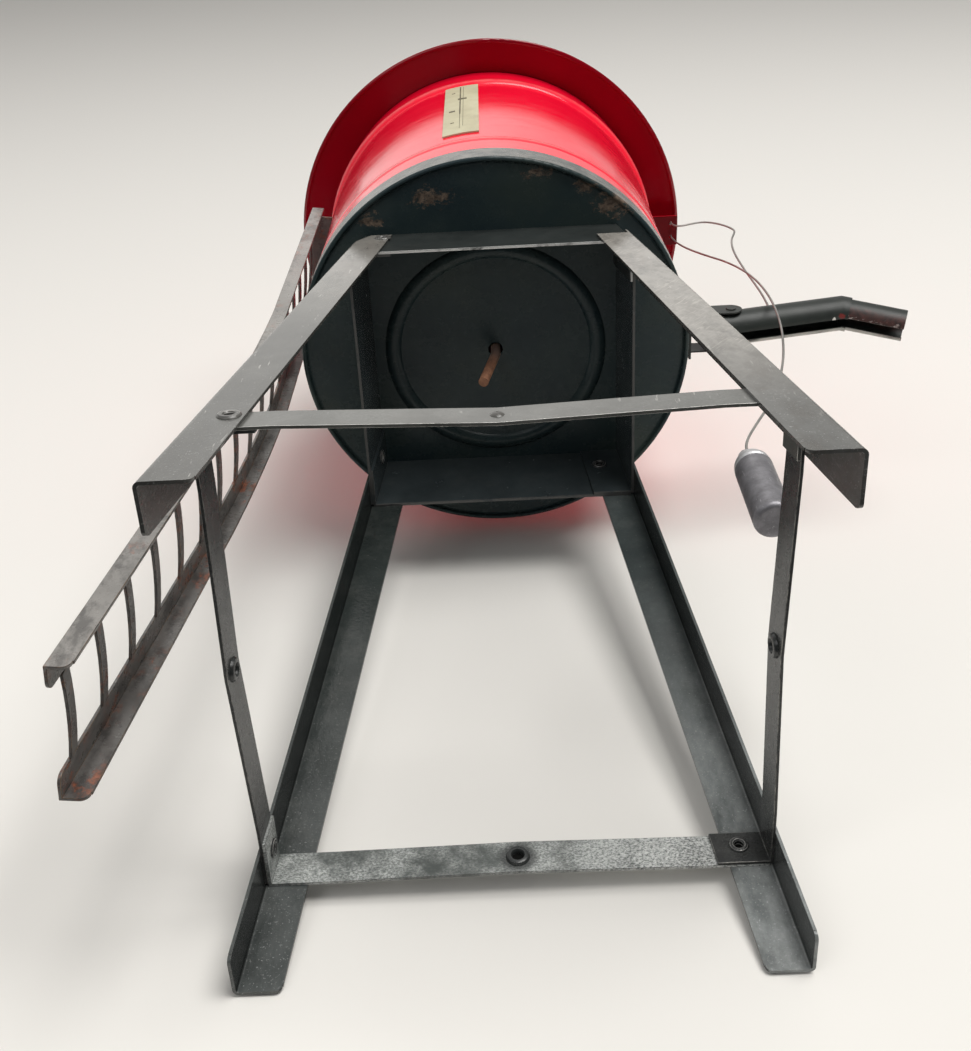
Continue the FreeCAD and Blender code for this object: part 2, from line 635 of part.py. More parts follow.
# and over the guide, through its back hole, down to the weight
WIRE_WEIGHT = [
    V(GUIDE_X, -GUIDE_Y, g + 0.9),
    V(GUIDE_X, -GUIDE_Y, 260.7),
    V(GUIDE_X, -0.9, 262.0),
    V(GUIDE_X, 0.9, 262.0),
    V(GUIDE_X, GUIDE_Y, 260.7),
    V(GUIDE_X, GUIDE_Y, 257.4),
    V(58.5, 2.0, 252.0),
    V(60.6, 1.3, 243.4),
    V(64.6, -0.4, 231.0),
    V(69.2, -3.6, 214.0),
    V(72.4, -6.2, 194.0),
    V(73.4, -7.2, 174.0),
    V(72.0, -7.3, 152.0),
    V(67.4, -7.2, 128.0),
    V(60.6, -7.1, 109.0),
    V(54.6, -7.0, 97.0),
    V(51.9, -7.0, 90.4),
    V(WEIGHT_X, WEIGHT_Y, 86.0),
    V(WEIGHT_X, WEIGHT_Y, CAP_TOP - CAP_BORE + 0.2),
]
wire_a, len_a, radii_a = tube_path(WIRE_SPOUT, WIRE_R)
wire_b, len_b, radii_b = tube_path(WIRE_WEIGHT, WIRE_R)
nodes["wire_to_spout"] = wire_a
nodes["wire_to_weight"] = wire_b

wz0, wz1 = WEIGHT_Z
wr = WEIGHT_R
weight = turned([
    (0.0, wz0), (wr - 1.1, wz0), ("arc", (wr - 1.1 + 1.1 * s2, wz0 + 1.1 - 1.1 * s2), (wr, wz0 + 1.1)),
    (wr, wz1 - 0.5), (wr - 0.4, wz1), (0.0, wz1),
])
cap = turned([
    (0.0, wz1), (wr - 0.4, wz1), (wr - 0.05, wz1 + 0.5), (wr - 0.2, wz1 + 1.6), (2.5, CAP_TOP - 0.7),
    ("arc", (2.2, CAP_TOP - 0.2), (1.7, CAP_TOP)), (CAP_BORE_R, CAP_TOP),
    (CAP_BORE_R, CAP_TOP - CAP_BORE), (0.0, CAP_TOP - CAP_BORE),
])
# slanting cut where the cap was trimmed
cap = one(cap.cut(beyond(V(0, -2.2, CAP_TOP - 1.6), V(0.25, -0.75, 0.62), 30.0)))
for name, shape in (("counterweight", weight), ("counterweight_cap", cap)):
    shape.translate(V(WEIGHT_X, WEIGHT_Y, 0))
    nodes[name] = shape

# -------------------------------------------------------------------- export
os.makedirs("parts", exist_ok=True)
for name in sorted(nodes):
    shape = nodes[name]
    print("%-28s solids %d valid %s volume %.2f" % (name, len(shape.Solids), shape.isValid(), shape.Volume))
    shape.exportStep("parts/%s.step" % name)
for name, length, radii in (("wire_to_spout", len_a, radii_a), ("wire_to_weight", len_b, radii_b)):
    section = math.pi * WIRE_R ** 2
    print(name, "length %.1f, volume over section times length %.4f, bend radii" % (length, nodes[name].Volume / (section * length)),
          " ".join("%.1f" % r for r in radii))
print("nodes", len(nodes))
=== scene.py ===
import math

import bpy
from mathutils import Matrix, Vector


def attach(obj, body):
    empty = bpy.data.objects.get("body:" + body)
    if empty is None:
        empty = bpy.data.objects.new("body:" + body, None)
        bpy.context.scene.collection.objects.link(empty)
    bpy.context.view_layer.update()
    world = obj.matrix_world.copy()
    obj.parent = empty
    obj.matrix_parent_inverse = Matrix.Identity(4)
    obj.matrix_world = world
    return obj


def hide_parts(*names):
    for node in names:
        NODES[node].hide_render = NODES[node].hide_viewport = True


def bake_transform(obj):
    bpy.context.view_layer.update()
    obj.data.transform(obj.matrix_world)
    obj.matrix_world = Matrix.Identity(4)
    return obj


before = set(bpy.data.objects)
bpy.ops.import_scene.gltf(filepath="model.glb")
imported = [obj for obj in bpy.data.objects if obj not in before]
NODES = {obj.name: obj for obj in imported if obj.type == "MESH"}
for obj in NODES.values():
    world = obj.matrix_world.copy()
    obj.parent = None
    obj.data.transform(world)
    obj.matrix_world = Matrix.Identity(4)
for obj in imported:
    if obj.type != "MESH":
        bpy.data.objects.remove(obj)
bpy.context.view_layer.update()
MM = 0.001


# ------------------------------------------------------------------ materials
class Paint:
    """A small helper round one node material."""

    def __init__(self, name):
        self.mat = bpy.data.materials.new(name)
        self.mat.use_nodes = True
        self.tree = self.mat.node_tree
        self.tree.nodes.clear()
        self.out = self.add("ShaderNodeOutputMaterial")
        self.bsdf = self.add("ShaderNodeBsdfPrincipled")
        self.link(self.bsdf.outputs[0], self.out.inputs["Surface"])
        self.coord = self.add("ShaderNodeTexCoord")

    def add(self, kind, **props):
        n = self.tree.nodes.new(kind)
        for k, v in props.items():
            setattr(n, k, v)
        return n

    def link(self, a, b):
        self.tree.links.new(a, b)

    def set(self, **values):
        for k, v in values.items():
            self.bsdf.inputs[k.replace("_", " ")].default_value = v

    def place(self, scale=(1, 1, 1), shift=(0, 0, 0), turn=(0, 0, 0)):
        m = self.add("ShaderNodeMapping")
        m.inputs["Scale"].default_value = scale
        m.inputs["Location"].default_value = shift
        m.inputs["Rotation"].default_value = turn
        self.link(self.coord.outputs["Object"], m.inputs["Vector"])
        return m.outputs["Vector"]

    def noise(self, size_mm, detail=4.0, rough=0.55, stretch=(1, 1, 1), shift=(0, 0, 0)):
        """Noise whose lumps are about size_mm across."""
        n = self.add("ShaderNodeTexNoise")
        n.inputs["Scale"].default_value = 1000.0 / size_mm
        n.inputs["Detail"].default_value = detail
        n.inputs["Roughness"].default_value = rough
        self.link(self.place(stretch, shift), n.inputs["Vector"])
        return n.outputs["Fac"]

    def ramp(self, fac, stops):
        r = self.add("ShaderNodeValToRGB")
        el = r.color_ramp.elements
        while len(el) < len(stops):
            el.new(0.5)
        for e, (p, c) in zip(el, stops):
            e.position = p
            e.color = c if len(c) == 4 else (*c, 1.0)
        self.link(fac, r.inputs["Fac"])
        return r.outputs["Color"]

    def mask(self, fac, low, high):
        m = self.add("ShaderNodeMapRange", clamp=True, interpolation_type="SMOOTHSTEP")
        m.inputs["From Min"].default_value = low
        m.inputs["From Max"].default_value = high
        self.link(fac, m.inputs["Value"])
        return m.outputs["Result"]

    def math(self, op, a, b=None):
        m = self.add("ShaderNodeMath", operation=op)
        for i, x in enumerate((a, b)):
            if x is None:
                continue
            if isinstance(x, (int, float)):
                m.inputs[i].default_value = x
            else:
                self.link(x, m.inputs[i])
        return m.outputs[0]

    def mix(self, fac, a, b):
        m = self.add("ShaderNodeMix", data_type="RGBA")
        self.link(fac, m.inputs[0])
        for i, x in ((6, a), (7, b)):
            if isinstance(x, tuple):
                m.inputs[i].default_value = (*x, 1.0)
            else:
                self.link(x, m.inputs[i])
        return m.outputs[2]

    def axis(self, which):
        s = self.add("ShaderNodeSeparateXYZ")
        self.link(self.coord.outputs["Object"], s.inputs[0])
        return s.outputs[which]

    def facing(self, which):
        """One part of the surface direction in the piece's own frame."""
        s = self.add("ShaderNodeSeparateXYZ")
        self.link(self.coord.outputs["Normal"], s.inputs[0])
        return s.outputs[which]

    def sheen(self, fac, low, high):
        m = self.add("ShaderNodeMapRange", clamp=True)
        m.inputs["To Min"].default_value = low
        m.inputs["To Max"].default_value = high
        self.link(fac, m.inputs["Value"])
        self.link(m.outputs["Result"], self.bsdf.inputs["Specular IOR Level"])

    def blob(self, x, y, z, rx, ry, rz):
        """1 in an ellipsoid about a point in mm, fading to 0 at its edge."""
        v = self.place((1000.0 / rx, 1000.0 / ry, 1000.0 / rz), (-x / rx, -y / ry, -z / rz))
        n = self.add("ShaderNodeVectorMath", operation="LENGTH")
        self.link(v, n.inputs[0])
        return self.math("SUBTRACT", 1.0, n.outputs["Value"])

    def bore(self, centre, axis, radius):
        """1 within radius mm of a line, 0 outside."""
        v = self.add("ShaderNodeVectorMath", operation="SUBTRACT")
        self.link(self.coord.outputs["Object"], v.inputs[0])
        v.inputs[1].default_value = [c * MM for c in centre]
        x = self.add("ShaderNodeVectorMath", operation="CROSS_PRODUCT")
        self.link(v.outputs["Vector"], x.inputs[0])
        x.inputs[1].default_value = axis
        n = self.add("ShaderNodeVectorMath", operation="LENGTH")
        self.link(x.outputs["Vector"], n.inputs[0])
        return self.mask(n.outputs["Value"], radius * 1.04 * MM, radius * 0.92 * MM)

    def bump(self, height, strength, dist_mm=0.1):
        b = self.add("ShaderNodeBump")
        b.inputs["Strength"].default_value = strength
        b.inputs["Distance"].default_value = dist_mm * MM
        self.link(height, b.inputs["Height"])
        self.link(b.outputs["Normal"], self.bsdf.inputs["Normal"])

    def colour(self, socket):
        self.link(socket, self.bsdf.inputs["Base Color"])

    def rough(self, fac, low, high):
        m = self.add("ShaderNodeMapRange", clamp=True)
        m.inputs["To Min"].default_value = low
        m.inputs["To Max"].default_value = high
        self.link(fac, m.inputs["Value"])
        self.link(m.outputs["Result"], self.bsdf.inputs["Roughness"])


def red_enamel(name, base, deep, rough=(0.06, 0.14), shaded_under=None, gloss=0.5, beads=()):
    p = Paint(name)
    cloud = p.noise(34, 3)
    col = p.ramp(cloud, [(0.3, deep), (0.7, base)])
    # fine scuffs round the wall and a few chips down to the dark primer
    scuff = p.mask(p.noise(2.4, 5, 0.7, (1, 1, 5.0), (0.31, 0.2, 0.7)), 0.66, 0.80)
    col = p.mix(p.math("MULTIPLY", scuff, 0.22), col, (0.75, 0.30, 0.27))
    chip = p.mask(p.noise(1.7, 2, 0.5, (1, 1, 1), (0.11, 0.5, 0.9)), 0.785, 0.80)
    rare = p.mask(p.noise(14, 2, 0.5, (1, 1, 1), (0.7, 0.1, 0.3)), 0.60, 0.66)
    col = p.mix(p.math("MULTIPLY", chip, rare), col, (0.09, 0.03, 0.03))
    if shaded_under is not None:
        # painted shade: a darker red on the faces that look down
        col = p.mix(p.mask(p.facing(2), 0.1, -0.3), col, p.ramp(cloud, [(0.3, tuple(0.8 * c for c in shaded_under)), (0.7, shaded_under)]))
    for z, half in beads:
        # the crest of a rolled bead is rubbed dull
        crest = p.mask(p.math("ABSOLUTE", p.math("SUBTRACT", p.axis(2), z * MM)), half * MM, 0.25 * half * MM)
        crest = p.math("MULTIPLY", crest, p.mask(p.noise(5.0, 6, 0.75, (1, 1, 2.0), (0.2, 0.9, 0.1)), 0.30, 0.62))
        col = p.mix(p.math("MULTIPLY", crest, 0.38), col, (0.60, 0.17, 0.16))
    p.colour(col)
    wipe = p.noise(6.0, 6, 0.72, (0.35, 0.35, 3.2), (0.6, 0.3, 0.2))
    p.rough(p.math("ADD", p.math("MULTIPLY", p.noise(9, 5, 0.65), 0.5), p.math("MULTIPLY", p.mask(wipe, 0.35, 0.75), 0.6)), *rough)
    p.set(IOR=1.52, Specular_IOR_Level=gloss)
    p.bump(p.noise(5.5, 2, 0.4), 0.05, 0.25)
    return p.mat


def black_enamel(name, base, dust=0.5, rough=(0.16, 0.28), rust=0.0, frost=0.0, rim=None, feet=0.0, crown_sheen=0.0, side_shade=0.0, gloss=0.5, dirt=None, hollow=None, scratch=0.0, lumps=0.10, mottle=0.0, sheen_span=(70.0, 135.0)):
    """Old black stove enamel: cloudy, with a dust film, specks, and on some parts rust or a chalky bloom."""
    p = Paint(name)
    cloud = p.noise(16, 5, 0.6)
    col = p.ramp(cloud, [(0.28, base), (0.75, tuple(1.7 * c + 0.004 for c in base))])
    film = p.mask(p.noise(6.5, 6, 0.7, (1, 1, 1), (0.4, 0.9, 0.2)), 0.42, 0.80)
    col = p.mix(p.math("MULTIPLY", film, 0.10 * dust), col, (0.42, 0.41, 0.38))
    speck = p.mask(p.noise(0.45, 2, 0.5, (1, 1, 1), (0.2, 0.3, 0.6)), 0.72, 0.79)
    col = p.mix(p.math("MULTIPLY", speck, 0.34 * dust), col, (0.60, 0.59, 0.55))
    if frost:
        bloom = p.mask(p.noise(9.0, 4, 0.6, (1, 1, 1), (0.7, 0.4, 0.9)), 0.30, 0.62)
        grain = p.mask(p.noise(0.34, 5, 0.72, (0.65, 1, 1), (0.5, 0.2, 0.1)), 0.34, 0.70)
        col = p.mix(p.math("MULTIPLY", bloom, 0.16 * frost), col, (0.50, 0.53, 0.51))
        col = p.mix(p.math("MULTIPLY", p.math("MULTIPLY", bloom, grain), 0.72 * frost), col, (0.66, 0.68, 0.66))
        if frost > 0.5:
            # thicker towards one end
            col = p.mix(p.math("MULTIPLY", p.math("MULTIPLY", p.mask(p.axis(0), 4.0 * MM, 34.0 * MM), grain), 0.80), col, (0.80, 0.81, 0.79))
    if rust:
        where = p.mask(p.noise(17, 3, 0.5, (1, 1, 1), (0.8, 0.2, 0.5)), 0.50 - 0.04 * rust, 0.60)
        red = p.mask(p.noise(2.6, 6, 0.74, (1, 1, 0.6), (0.3, 0.2, 0.5)), 0.50, 0.60)
        tone = p.ramp(p.noise(0.8, 3, 0.6), [(0.35, (0.085, 0.032, 0.020)), (0.65, (0.33, 0.105, 0.050))])
        dark = p.mask(p.noise(5.5, 6, 0.72, (1, 1, 0.5), (0.45, 0.35, 0.85)), 0.46, 0.64)
        col = p.mix(p.math("MULTIPLY", dark, 0.62), col, (0.020, 0.019, 0.018))
        col = p.mix(p.math("MULTIPLY", p.math("MULTIPLY", red, where), 0.85 * rust), col, tone)
        pale = p.mask(p.noise(3.4, 6, 0.75, (1, 1, 0.6), (0.6, 0.6, 0.1)), 0.60, 0.72)
        col = p.mix(p.math("MULTIPLY", pale, 0.42), col, (0.46, 0.44, 0.41))
    if rim is not None:
        # the sheared lower edge is painted bright in patches
        worn = p.math("MULTIPLY", p.mask(p.axis(2), 146.0 * MM, 145.8 * MM), p.mask(p.noise(6.0, 5, 0.7), 0.30, 0.50))
        col = p.mix(worn, col, (rim, rim, 0.97 * rim))
    if feet:
        # handling dust, thicker towards the feet, and pale flecks there that are painted glints
        low = p.mask(p.axis(2), 110.0 * MM, 0.0)
        glint_fleck = p.mask(p.noise(0.42, 4, 0.7, (1, 1, 1), (0.9, 0.1, 0.4)), 0.60, 0.67)
        smear = p.mask(p.noise(6.0, 5, 0.65, (1, 1, 0.5), (0.2, 0.1, 0.9)), 0.15, 0.80)
        col = p.mix(p.math("MULTIPLY", p.math("MULTIPLY", low, smear), 0.17 * feet), col, (0.44, 0.46, 0.455))
        col = p.mix(p.math("MULTIPLY", p.math("MULTIPLY", low, glint_fleck), min(0.42, 0.34 * feet)), col, (0.62, 0.64, 0.63))
    if crown_sheen:
        # painted sheen and rubbing: the upper ends are painted a paler grey on the outside
        high = p.mask(p.axis(2), sheen_span[0] * MM, sheen_span[1] * MM)
        front = p.mask(p.facing(1), -0.55, -0.85)
        sheen_wear = p.math("MULTIPLY", p.math("MULTIPLY", high, front), p.mask(p.noise(5.0, 6, 0.7, (1, 1, 0.5), (0.3, 0.1, 0.4)), 0.10, 0.60))
        col = p.mix(p.math("MULTIPLY", sheen_wear, crown_sheen), col, (0.30, 0.285, 0.26))
    if mottle:
        # brownish patches and short slanting rubs
        brown = p.mask(p.noise(4.2, 6, 0.72, (1, 1, 0.55), (0.15, 0.75, 0.35)), 0.44, 0.66)
        col = p.mix(p.math("MULTIPLY", brown, 0.20 * mottle), col, (0.060, 0.050, 0.040))
        above = p.math("MULTIPLY", p.mask(p.axis(2), 22.0 * MM, 75.0 * MM), p.mask(p.facing(1), -0.55, -0.85))
        for lean, seed, strong in ((0.55, 0.2, 0.26), (-0.80, 0.7, 0.16)):
            m = p.add("ShaderNodeMapping", vector_type="TEXTURE")
            m.inputs["Location"].default_value = (seed, 0.3 * seed, 0.6 * seed)
            m.inputs["Rotation"].default_value = (0.0, lean, 0.0)
            m.inputs["Scale"].default_value = (1.0, 1.0, 26.0)
            p.link(p.coord.outputs["Object"], m.inputs["Vector"])
            slant = p.add("ShaderNodeTexNoise")
            slant.inputs["Scale"].default_value = 2400.0
            slant.inputs["Detail"].default_value = 2.0
            p.link(m.outputs["Vector"], slant.inputs["Vector"])
            rub = p.math("MULTIPLY", p.mask(slant.outputs["Fac"], 0.56, 0.68), p.mask(p.noise(12, 3, 0.5, (1, 1, 1), (0.9, seed, 0.6)), 0.38, 0.58))
            col = p.mix(p.math("MULTIPLY", p.math("MULTIPLY", rub, above), strong * mottle), col, (0.46, 0.435, 0.39))
    if scratch:
        # long fine scratches along the sheet, mostly near the upper end
        line = p.mask(p.noise(0.8, 3, 0.5, (1.0, 1.0, 0.07), (0.5, 0.2, 0.3)), 0.64, 0.70)
        line = p.math("MULTIPLY", line, p.mask(p.noise(15, 2, 0.5, (1, 1, 1), (0.1, 0.6, 0.3)), 0.42, 0.62))
        col = p.mix(p.math("MULTIPLY", line, scratch), col, (0.60, 0.585, 0.55))
    if hollow is not None:
        # painted shade: the inside of the rivet's bore is painted near-black and barely glossy
        col = p.mix(p.bore(*hollow), col, (0.0035, 0.0035, 0.0035))
        p.sheen(p.bore(*hollow), gloss, 0.05)
    if dirt is not None:
        # grime gathered round a rivet
        col = p.mix(p.math("MULTIPLY", p.mask(p.blob(*dirt, 5.0, 5.0, 4.6), 0.05, 0.45), 0.8), col, (0.012, 0.014, 0.014))
    p.set(IOR=1.5)
    if hollow is None and not side_shade:
        p.set(Specular_IOR_Level=gloss)
    if side_shade:
        # painted shade: the faces that look sideways are painted a deeper black, with less specular
        flank = p.mask(p.math("ABSOLUTE", p.facing(0)), 0.45, 0.85)
        col = p.mix(p.math("MULTIPLY", flank, side_shade), col, (0.007, 0.008, 0.008))
        p.sheen(flank, gloss, gloss * (1.0 - 0.7 * side_shade))
    p.colour(col)
    p.rough(p.noise(4.5, 5, 0.7, (1, 1, 1), (0.1, 0.1, 0.8)), *rough)
    p.bump(p.noise(0.9, 4, 0.6), lumps, 0.10)
    return p.mat


def worn_edge(name, col=(0.30, 0.29, 0.27), below=None):
    """Rubbed sheet edges: patches of bare metal between paint."""
    p = Paint(name)
    rub = p.mask(p.noise(5.0, 6, 0.75, (1, 1, 1), (0.6, 0.4, 0.1)), *((0.40, 0.62) if below is None else (0.25, 0.50)))
    if below is not None:
        rub = p.math("MULTIPLY", rub, p.mask(p.axis(2), below * MM, (below - 0.5) * MM))
    c = p.mix(rub, (0.020, 0.022, 0.022), col)
    p.colour(c)
    m = p.add("ShaderNodeMapRange", clamp=True)
    m.inputs["To Max"].default_value = 0.7
    p.link(rub, m.inputs["Value"])
    p.link(m.outputs["Result"], p.bsdf.inputs["Metallic"])
    p.rough(p.noise(2.0, 4), 0.34, 0.5)
    return p.mat


def pan_paint():
    p = Paint("pan_black")
    cloud = p.noise(24, 4, 0.55)
    col = p.ramp(cloud, [(0.30, (0.017, 0.030, 0.036)), (0.52, (0.025, 0.040, 0.042)), (0.72, (0.036, 0.050, 0.045))])
    film = p.mask(p.noise(7, 6, 0.7, (1, 1, 1), (0.4, 0.9, 0.2)), 0.45, 0.85)
    col = p.mix(p.math("MULTIPLY", film, 0.03), col, (0.38, 0.40, 0.37))
    # flakes rubbed down to brownish metal near the front edge
    flake = p.noise(1.5, 7, 0.78, (0.7, 1, 1), (0.3, 0.6, 0.1))
    total = None
    for x, y, rx, ry in ((31.0, -37.5, 10.0, 7.0), (24.0, -42.0, 6.0, 4.0), (12.5, -46.0, 8.0, 3.2), (-14.0, -41.0, 11.0, 4.5), (-30.0, -36.0, 6.0, 4.0)):
        near = p.blob(x, y, 165.8, rx, ry, 6.0)
        total = near if total is None else p.math("MAXIMUM", total, near)
    spot = p.mask(p.math("ADD", p.math("MULTIPLY", total, 0.34), flake), 0.70, 0.75)
    spot = p.math("MULTIPLY", spot, p.mask(total, 0.0, 0.15))
    tone = p.ramp(p.noise(1.6, 6, 0.75), [(0.36, (0.030, 0.024, 0.020)), (0.66, (0.24, 0.18, 0.135))])
    col = p.mix(spot, col, tone)
    # painted reflection: the outer skirt's face is painted a patchy grey, standing in for the bright surround it
    # reflects
    s2 = p.axis(2)
    tall = p.math("SUBTRACT", 1.0, p.mask(p.math("ABSOLUTE", p.facing(2)), 0.25, 0.6))
    skirt = p.math("MULTIPLY", tall, p.mask(s2, 165.2 * MM, 165.7 * MM))
    rub = p.mask(p.noise(4.0, 6, 0.72, (1, 1, 2.0), (0.2, 0.7, 0.3)), 0.25, 0.75)
    col = p.mix(p.math("MULTIPLY", p.math("MULTIPLY", skirt, rub), 0.60), col, (0.30, 0.275, 0.25))
    p.colour(col)
    p.rough(p.noise(6, 5, 0.7), 0.20, 0.34)
    p.set(IOR=1.5)
    p.sheen(skirt, 0.22, 0.5)
    p.bump(p.noise(2.2, 4, 0.6), 0.14, 0.10)
    return p.mat


def rust_metal():
    p = Paint("rod_rust")
    c = p.ramp(p.noise(2.6, 7, 0.7), [(0.25, (0.11, 0.053, 0.032)), (0.5, (0.27, 0.122, 0.066)), (0.75, (0.42, 0.215, 0.125))])
    # painted light: the upper end of the rod is painted a paler colour, where it is lit
    c = p.mix(p.math("MULTIPLY", p.mask(p.axis(2), 155.0 * MM, 162.0 * MM), 0.7), c, (0.30, 0.215, 0.18))
    p.colour(c)
    p.rough(p.noise(1.5, 4), 0.65, 0.9)
    p.bump(p.noise(0.7, 5, 0.7), 0.5, 0.18)
    return p.mat


def spout_paint(name, rusty):
    p = Paint(name)
    col = p.ramp(p.noise(9, 5, 0.6), [(0.3, (0.016, 0.0195, 0.0178)), (0.72, (0.029, 0.034, 0.031))])
    streak = p.mask(p.noise(1.6, 5, 0.7, (0.25, 1, 1), (0.2, 0.6, 0.3)), 0.58, 0.80)
    col = p.mix(p.math("MULTIPLY", streak, 0.15), col, (0.26, 0.26, 0.25))
    down = p.facing(2)
    if rusty:
        rag = p.noise(2.2, 6, 0.75, (0.6, 1, 1), (0.5, 0.1, 0.2))
        low = p.mask(p.math("SUBTRACT", p.math("MULTIPLY", rag, 0.8), down), 0.85, 1.25)
        col = p.mix(p.math("MULTIPLY", low, 0.85), col, p.ramp(p.noise(1.2, 4, 0.6), [(0.35, (0.024, 0.014, 0.013)), (0.65, (0.085, 0.032, 0.027))]))
        white = p.mask(p.math("SUBTRACT", p.math("MULTIPLY", p.noise(1.0, 6, 0.75, (0.4, 1, 1.6), (0.9, 0.3, 0.4)), 0.9), down), 1.40, 1.50)
        col = p.mix(p.math("MULTIPLY", white, 0.75), col, (0.62, 0.53, 0.50))
    else:
        # a chipped pale spot and a dab of red beside the seam at the bend
        rag = p.noise(0.9, 5, 0.7, (1, 1, 1), (0.4, 0.2, 0.8))
        col = p.mix(p.mask(p.math("ADD", p.blob(90.4, -0.4, 174.3, 0.7, 1.0, 1.0), rag), 0.78, 0.98), col, (0.66, 0.64, 0.60))
        col = p.mix(p.mask(p.math("ADD", p.blob(92.6, -0.9, 175.0, 1.6, 1.2, 1.6), rag), 0.78, 1.10), col, (0.17, 0.024, 0.020))
    # painted highlight: the far lip of the open seam is painted a patchy pale grey
    lit_lip = p.math("MULTIPLY", p.mask(p.facing(1), 0.30, 0.62), p.mask(down, 0.10, -0.20))
    lit_lip = p.math("MULTIPLY", lit_lip, p.mask(p.noise(2.6, 5, 0.7, (0.4, 1, 1), (0.1, 0.9, 0.5)), 0.25, 0.60))
    col = p.mix(p.math("MULTIPLY", lit_lip, 0.8), col, (0.46, 0.47, 0.43))
    p.colour(col)
    p.rough(p.noise(3.5, 5, 0.7), 0.34, 0.54)
    p.set(IOR=1.5, Specular_IOR_Level=0.4)
    p.bump(p.noise(1.2, 4, 0.6), 0.15, 0.10)
    return p.mat


def lead_metal(name, light):
    p = Paint(name)
    a, b = ((0.15, 0.145, 0.158), (0.31, 0.305, 0.325)) if not light else ((0.36, 0.36, 0.37), (0.68, 0.68, 0.69))
    col = p.ramp(p.noise(3.4, 6, 0.7), [(0.3, a), (0.72, b)])
    scrape = p.mask(p.noise(0.9, 4, 0.6, (1, 1, 0.2), (0.4, 0.7, 0.1)), 0.62, 0.74)
    col = p.mix(p.math("MULTIPLY", scrape, 0.5), col, (0.75, 0.75, 0.76))
    p.colour(col)
    p.set(Metallic=0.65)
    p.rough(p.noise(2.0, 5, 0.7), 0.34, 0.60)
    p.bump(p.noise(1.6, 5, 0.65), 0.35, 0.15)
    return p.mat


def wire_metal():
    p = Paint("wire_steel")
    col = p.ramp(p.noise(6, 4, 0.6), [(0.3, (0.19, 0.187, 0.175)), (0.7, (0.34, 0.335, 0.315))])
    p.colour(col)
    p.set(Metallic=0.4)
    p.rough(p.noise(2.0, 3), 0.36, 0.55)
    return p.mat


def gauge_cream():
    p = Paint("gauge_cream")
    col = p.ramp(p.noise(9, 6, 0.7), [(0.25, (0.42, 0.38, 0.25)), (0.55, (0.52, 0.485, 0.325)), (0.80, (0.58, 0.56, 0.42))])
    stain = p.mask(p.noise(3.0, 6, 0.75, (1, 1, 0.5), (0.1, 0.8, 0.4)), 0.60, 0.78)
    col = p.mix(p.math("MULTIPLY", stain, 0.30), col, (0.36, 0.29, 0.16))
    p.colour(col)
    p.rough(p.noise(3, 4), 0.42, 0.6)
    p.bump(p.noise(1.2, 4, 0.6), 0.10, 0.08)
    return p.mat


def ink():
    p = Paint("gauge_ink")
    col = p.ramp(p.noise(1.2, 5, 0.7), [(0.3, (0.035, 0.030, 0.018)), (0.75, (0.20, 0.17, 0.10))])
    p.colour(col)
    p.rough(p.noise(2, 3), 0.5, 0.7)
    return p.mat


BEAD_MARKS = ((253.0, 2.6), (185.6, 1.6))
RED = red_enamel("tank_red", (0.95, 0.005, 0.036), (0.84, 0.004, 0.028), (0.05, 0.26), gloss=0.42, beads=BEAD_MARKS)
ROOF_RED = red_enamel("roof_red", (0.62, 0.0013, 0.014), (0.50, 0.001, 0.010), (0.10, 0.20), (0.235, 0.0014, 0.009))
# painted shade: the wire guide gets a darker copy of the roof red, standing in for the eave's shadow
GUIDE_RED_SHADED = red_enamel("guide_red_shaded", (0.50, 0.0012, 0.012), (0.42, 0.001, 0.010), (0.30, 0.45), (0.12, 0.001, 0.005), gloss=0.15)
BLACK = black_enamel("stand_black", (0.017, 0.021, 0.020), 0.7, (0.12, 0.22), feet=1.0, side_shade=0.8, lumps=0.85)
LEG_RIGHT = black_enamel("stand_grey", (0.034, 0.041, 0.041), 0.7, (0.12, 0.22), feet=3.9, side_shade=0.8, lumps=0.85)
LEG_FRONT_RIGHT = black_enamel("leg_front_right", (0.040, 0.039, 0.036), 0.8, (0.15, 0.26), feet=0.8, crown_sheen=0.95, scratch=0.30, mottle=1.7, sheen_span=(10.0, 74.0))
LEG_FRONT = black_enamel("leg_front", (0.026, 0.025, 0.022), 0.8, (0.15, 0.26), feet=0.5, crown_sheen=0.62, scratch=0.35, mottle=0.3)
STRAP_BACK = black_enamel("strap_chalky", (0.046, 0.053, 0.050), 0.8, (0.18, 0.30), frost=1.1, dirt=(0.0, 47.2, 26.5), lumps=0.30)
STRAP_FRONT = black_enamel("strap_front", (0.062, 0.062, 0.057), 0.7, (0.16, 0.27), frost=0.08, scratch=0.3)
STRAP_SIDE = black_enamel("strap_side", (0.016, 0.017, 0.017), 0.7, (0.20, 0.34), frost=0.06, gloss=0.3)
COLLAR_FRONT = black_enamel("collar_front", (0.018, 0.021, 0.0205), 0.3, (0.24, 0.38), rim=0.62, gloss=0.16)
COLLAR = black_enamel("collar_black", (0.022, 0.028, 0.030), 0.25, (0.18, 0.32), rim=0.07, gloss=0.4)
LADDER = black_enamel("ladder_black", (0.092, 0.086, 0.081), 1.2, (0.20, 0.36), rust=1.0)
LADDER_FRONT = black_enamel("ladder_front", (0.175, 0.166, 0.155), 1.2, (0.20, 0.36), rust=0.5)
RIVET_GREY = black_enamel("rivet_grey", (0.060, 0.058, 0.054), 0.9, (0.20, 0.34))
GLINT = worn_edge("rivet_glint", (0.62, 0.61, 0.58))
EDGE = worn_edge("edge_worn")
EDGE_DIM = worn_edge("edge_dim", (0.11, 0.11, 0.105))
EDGE_LOWER = worn_edge("edge_lower", (0.80, 0.79, 0.75), 24.5)
EDGE_DARK = worn_edge("edge_dark", (0.050, 0.052, 0.050))
RIVET_EDGE = worn_edge("rivet_worn", (0.48, 0.47, 0.45))
